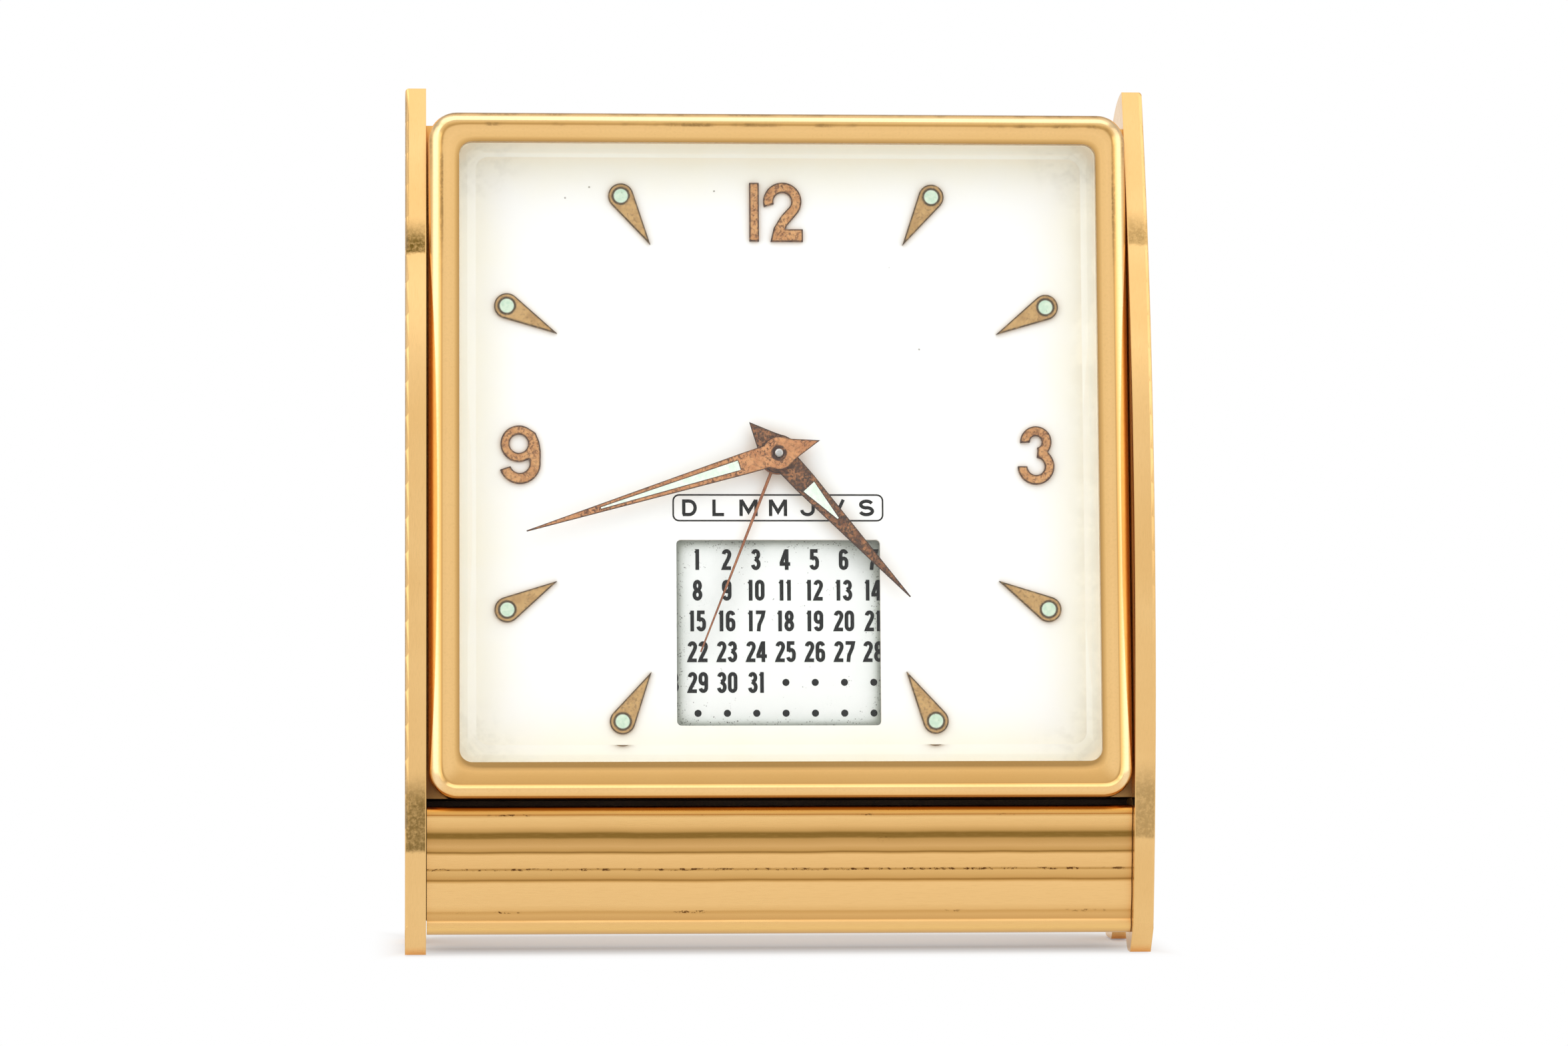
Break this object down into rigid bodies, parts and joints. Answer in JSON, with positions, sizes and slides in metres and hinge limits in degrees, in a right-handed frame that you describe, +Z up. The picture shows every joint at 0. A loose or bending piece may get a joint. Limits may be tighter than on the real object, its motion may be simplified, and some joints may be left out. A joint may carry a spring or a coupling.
{
  "type": "desk clock with calendar",
  "caption": "Leaning brass desk alarm clock with square dial, three hands and a month card that slides behind a window under the weekday initials.",
  "frame": {"origin": "centre of the footprint's bounding box, on the surface the feet stand on", "axes": "+X to the right as seen from the front, +Y to the back, +Z up; the dial leans back 7 degrees"},
  "size_m": [0.1, 0.0378, 0.116],
  "materials": {
    "gilt_brass": "polished lacquered brass with light tarnish",
    "case_brass": "satin lacquered brass",
    "movement_brass": "grained brass",
    "copper_gilt": "tarnished copper gilding",
    "steel": "polished steel",
    "dial_paint": "silver-white dial lacquer",
    "card_print": "printed sheet, pale grey white",
    "lume": "aged luminous filler",
    "glass": "clear bevelled glass"
  },
  "bodies": {
    "clock_frame": {"left_cheek": "gilt_brass", "right_cheek": "gilt_brass", "cheek_screws": "movement_brass", "ribbed_apron": "gilt_brass", "case_body": "case_brass", "back_cover": "case_brass", "back_cover_screws": "movement_brass", "bezel": "gilt_brass", "crystal": "glass", "rehaut_frame": "dial_paint", "dial_plate": "dial_paint", "dial_feet": "movement_brass", "hour_markers": "copper_gilt", "lume_dots": "lume", "numeral_12": "copper_gilt", "numeral_3": "copper_gilt", "numeral_9": "copper_gilt", "calendar_rails": "movement_brass", "movement_front_plate": "movement_brass", "movement_back_plate": "movement_brass", "movement_pillars": "movement_brass", "plate_screws": "steel", "movement_posts": "movement_brass", "hairspring": "steel", "alarm_gong": "steel"},
    "minute_set": {"minute_hand": "copper_gilt", "minute_lume": "lume", "cannon_pinion": "movement_brass"},
    "hour_set": {"hour_hand": "copper_gilt", "hour_lume": "lume", "hour_wheel": "movement_brass"},
    "alarm_set": {"alarm_hand": "copper_gilt", "alarm_wheel": "movement_brass"},
    "minute_wheel_set": {"minute_wheel": "movement_brass"},
    "center_set": {"center_arbor": "steel", "center_wheel": "movement_brass"},
    "hand_setting_set": {"hand_setting_arbor": "steel", "hand_setting_knob": "movement_brass"},
    "alarm_setting_set": {"alarm_setting_arbor": "steel", "alarm_setting_knob": "movement_brass"},
    "calendar_sheet": {"calendar_card": "card_print", "calendar_slide": "steel"},
    "calendar_drive": {"calendar_shaft": "steel", "calendar_knob": "movement_brass"},
    "time_winding_set": {"time_barrel_arbor": "steel", "time_winding_key": "movement_brass"},
    "alarm_winding_set": {"alarm_barrel_arbor": "steel", "alarm_winding_key": "movement_brass"},
    "alarm_stop": {"alarm_stop_button": "movement_brass"},
    "time_barrel_set": {"time_barrel": "movement_brass"},
    "third_set": {"third_wheel": "movement_brass"},
    "fourth_set": {"fourth_wheel": "movement_brass"},
    "escape_set": {"escape_wheel": "movement_brass"},
    "lever_set": {"pallet_lever": "steel"},
    "balance_set": {"balance_wheel": "movement_brass", "balance_staff": "steel"},
    "alarm_barrel_set": {"alarm_barrel": "movement_brass"},
    "strike_set": {"alarm_strike_wheel": "movement_brass"},
    "hammer_set": {"alarm_hammer": "steel"}
  },
  "joints": [
    {"name": "minute_hand_turn", "type": "hinge", "parent": "clock_frame", "child": "minute_set", "pos_m": [0, -0.00295, 0.06606], "axis": [0, 0.9925, -0.1219], "continuous": true},
    {"name": "hour_hand_turn", "type": "hinge", "parent": "clock_frame", "child": "hour_set", "pos_m": [0, -0.00295, 0.06606], "axis": [0, 0.9925, -0.1219], "continuous": true},
    {"name": "minute_wheel_turn", "type": "hinge", "parent": "clock_frame", "child": "minute_wheel_set", "pos_m": [-0.0036, -0.00236, 0.07082], "axis": [0, 0.9925, -0.1219], "continuous": true},
    {"name": "hand_setting_turn", "type": "hinge", "parent": "clock_frame", "child": "hand_setting_set", "pos_m": [-0.0072, -0.00178, 0.07558], "axis": [0, 0.9925, -0.1219], "continuous": true},
    {"name": "alarm_hand_turn", "type": "hinge", "parent": "clock_frame", "child": "alarm_set", "pos_m": [0, -0.00295, 0.06606], "axis": [0, 0.9925, -0.1219], "continuous": true},
    {"name": "alarm_setting_turn", "type": "hinge", "parent": "clock_frame", "child": "alarm_setting_set", "pos_m": [0.00719, -0.0021, 0.07295], "axis": [0, 0.9925, -0.1219], "continuous": true},
    {"name": "center_arbor_turn", "type": "hinge", "parent": "clock_frame", "child": "center_set", "pos_m": [0, -0.00295, 0.06606], "axis": [0, 0.9925, -0.1219], "continuous": true},
    {"name": "calendar_slide_move", "type": "slide", "parent": "clock_frame", "child": "calendar_sheet", "axis": [1, 0, 0], "range_m": [-0.0009, 0.02274]},
    {"name": "calendar_knob_turn", "type": "hinge", "parent": "clock_frame", "child": "calendar_drive", "pos_m": [0, -0.00787, 0.02595], "axis": [0, 0.9925, -0.1219], "range_deg": [-21.99, 543.38]},
    {"name": "time_key_turn", "type": "hinge", "parent": "clock_frame", "child": "time_winding_set", "pos_m": [-0.0093, -0.00362, 0.0606], "axis": [0, -0.9925, 0.1219], "range_deg": [0, 1800]},
    {"name": "alarm_key_turn", "type": "hinge", "parent": "clock_frame", "child": "alarm_winding_set", "pos_m": [0.014, -0.00362, 0.0606], "axis": [0, -0.9925, 0.1219], "range_deg": [0, 1440]},
    {"name": "alarm_stop_press", "type": "slide", "parent": "clock_frame", "child": "alarm_stop", "axis": [0, -0.9925, 0.1219], "range_m": [0, 0.002], "stiffness_N_per_m": 150, "springref_m": -0.002},
    {"name": "fourth_wheel_turn", "type": "hinge", "parent": "clock_frame", "child": "fourth_set", "pos_m": [0, -0.00124, 0.07999], "axis": [0, 0.9925, -0.1219], "continuous": true},
    {"name": "third_wheel_turn", "type": "hinge", "parent": "clock_frame", "child": "third_set", "pos_m": [0, -0.00198, 0.07392], "axis": [0, 0.9925, -0.1219], "continuous": true},
    {"name": "time_barrel_turn", "type": "hinge", "parent": "clock_frame", "child": "time_barrel_set", "pos_m": [-0.0093, -0.00362, 0.0606], "axis": [0, 0.9925, -0.1219], "continuous": true},
    {"name": "escape_wheel_turn", "type": "hinge", "parent": "clock_frame", "child": "escape_set", "pos_m": [0.00496, -0.00102, 0.08178], "axis": [0, 0.9925, -0.1219], "continuous": true},
    {"name": "pallet_lever_rock", "type": "hinge", "parent": "clock_frame", "child": "lever_set", "pos_m": [0.0096, -0.00093, 0.08253], "axis": [0, 0.9925, -0.1219], "range_deg": [-3, 3]},
    {"name": "balance_swing", "type": "hinge", "parent": "clock_frame", "child": "balance_set", "pos_m": [0.01749, -0.00124, 0.07996], "axis": [0, 0.9925, -0.1219], "range_deg": [-150, 150], "stiffness_Nm_per_rad": 0.000005},
    {"name": "alarm_strike_turn", "type": "hinge", "parent": "clock_frame", "child": "strike_set", "pos_m": [0.01954, -0.0043, 0.0551], "axis": [0, 0.9925, -0.1219], "continuous": true},
    {"name": "alarm_barrel_turn", "type": "hinge", "parent": "clock_frame", "child": "alarm_barrel_set", "pos_m": [0.014, -0.00362, 0.0606], "axis": [0, 0.9925, -0.1219], "continuous": true},
    {"name": "alarm_hammer_swing", "type": "hinge", "parent": "clock_frame", "child": "hammer_set", "pos_m": [0.0135, -0.00533, 0.0467], "axis": [0, 0.9925, -0.1219], "range_deg": [0, 9.5]}
  ],
  "couplings": [
    {"joint": "hour_hand_turn", "follows": "minute_hand_turn", "ratio": 0.083333},
    {"joint": "minute_wheel_turn", "follows": "minute_hand_turn", "ratio": -0.33333},
    {"joint": "hand_setting_turn", "follows": "minute_hand_turn", "ratio": 1},
    {"joint": "alarm_setting_turn", "follows": "alarm_hand_turn", "ratio": -3},
    {"joint": "calendar_knob_turn", "follows": "calendar_slide_move", "rad_per_m": 416.67},
    {"joint": "third_wheel_turn", "follows": "fourth_wheel_turn", "ratio": -0.13333},
    {"joint": "center_arbor_turn", "follows": "fourth_wheel_turn", "ratio": 0.016667},
    {"joint": "time_barrel_turn", "follows": "fourth_wheel_turn", "ratio": -0.0020833},
    {"joint": "escape_wheel_turn", "follows": "fourth_wheel_turn", "ratio": -10},
    {"joint": "alarm_barrel_turn", "follows": "alarm_strike_turn", "ratio": -0.16667}
  ]
}
